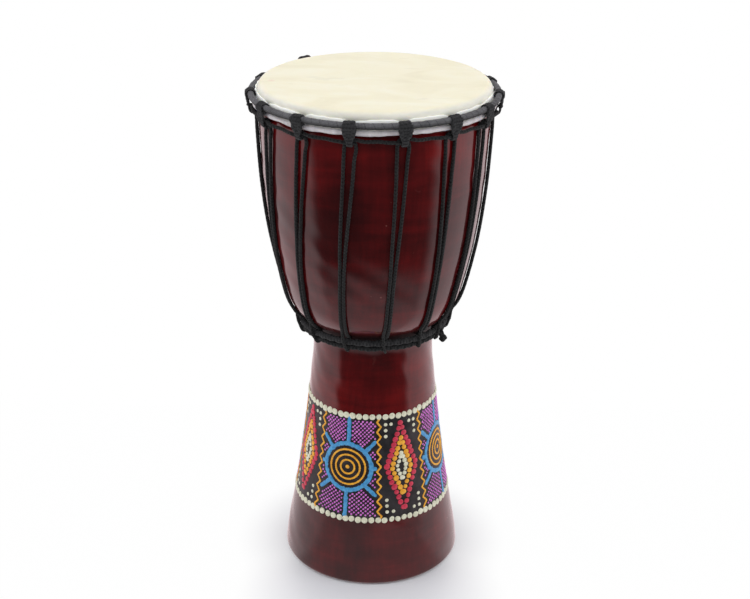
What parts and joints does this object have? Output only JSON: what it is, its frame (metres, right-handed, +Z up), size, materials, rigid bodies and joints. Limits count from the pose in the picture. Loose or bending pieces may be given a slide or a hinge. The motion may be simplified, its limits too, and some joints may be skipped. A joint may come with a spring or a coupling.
{
  "type": "djembe drum",
  "caption": "Rope-tuned goblet hand drum: carved wooden shell, hide head held by a roped crown ring, lacing down to a lower ring, painted band round the foot.",
  "frame": {"origin": "centre of the foot's rest face, on the drum's axis", "axes": "+Z up along the drum's axis to the head; -Y is the side seen from the front, with a lacing hitch a little to each side of it"},
  "size_m": [0.1923, 0.1916, 0.4],
  "materials": {
    "lacquered_wood": "dark red-brown gloss lacquer with fine scratches; the foot carries a black band of dot painting",
    "goatskin": "thin shaved hide, matt, cream",
    "steel_rod": "plain round rod, hidden",
    "woven_tape": "black woven tape wound tightly, fine ribs",
    "loop_cord": "black braided polyester cord",
    "lacing_cord": "black braided polyester cord under tension",
    "ring_rope": "thick black twisted rope"
  },
  "bodies": {
    "drum": {"shell": "lacquered_wood", "head_skin": "goatskin", "lacing_rope": "lacing_cord", "bottom_ring": "ring_rope", "bottom_lashing": "loop_cord"},
    "head_rings": {"crown_ring": "steel_rod", "crown_ring_wrap": "woven_tape", "flesh_hoop": "steel_rod", "top_loop_01": "loop_cord", "top_loop_02": "loop_cord", "top_loop_03": "loop_cord", "top_loop_04": "loop_cord", "top_loop_05": "loop_cord", "top_loop_06": "loop_cord", "top_loop_07": "loop_cord", "top_loop_08": "loop_cord", "top_loop_09": "loop_cord", "top_loop_10": "loop_cord", "top_loop_11": "loop_cord", "top_loop_12": "loop_cord", "top_loop_13": "loop_cord", "top_loop_14": "loop_cord", "top_loop_15": "loop_cord"},
    "tail": {"tail_knot": "loop_cord"}
  },
  "joints": [
    {"name": "ring_tuning", "type": "slide", "parent": "drum", "child": "head_rings", "axis": [0, 0, -1], "range_m": [-0.001, 0.003], "deforming": ["head_skin", "lacing_rope"]},
    {"name": "tail_swing", "type": "hinge", "parent": "drum", "child": "tail", "pos_m": [0.0506, -0.02468, 0.2038], "axis": [-0.4384, -0.8988, 0], "range_deg": [-50, 30]}
  ]
}
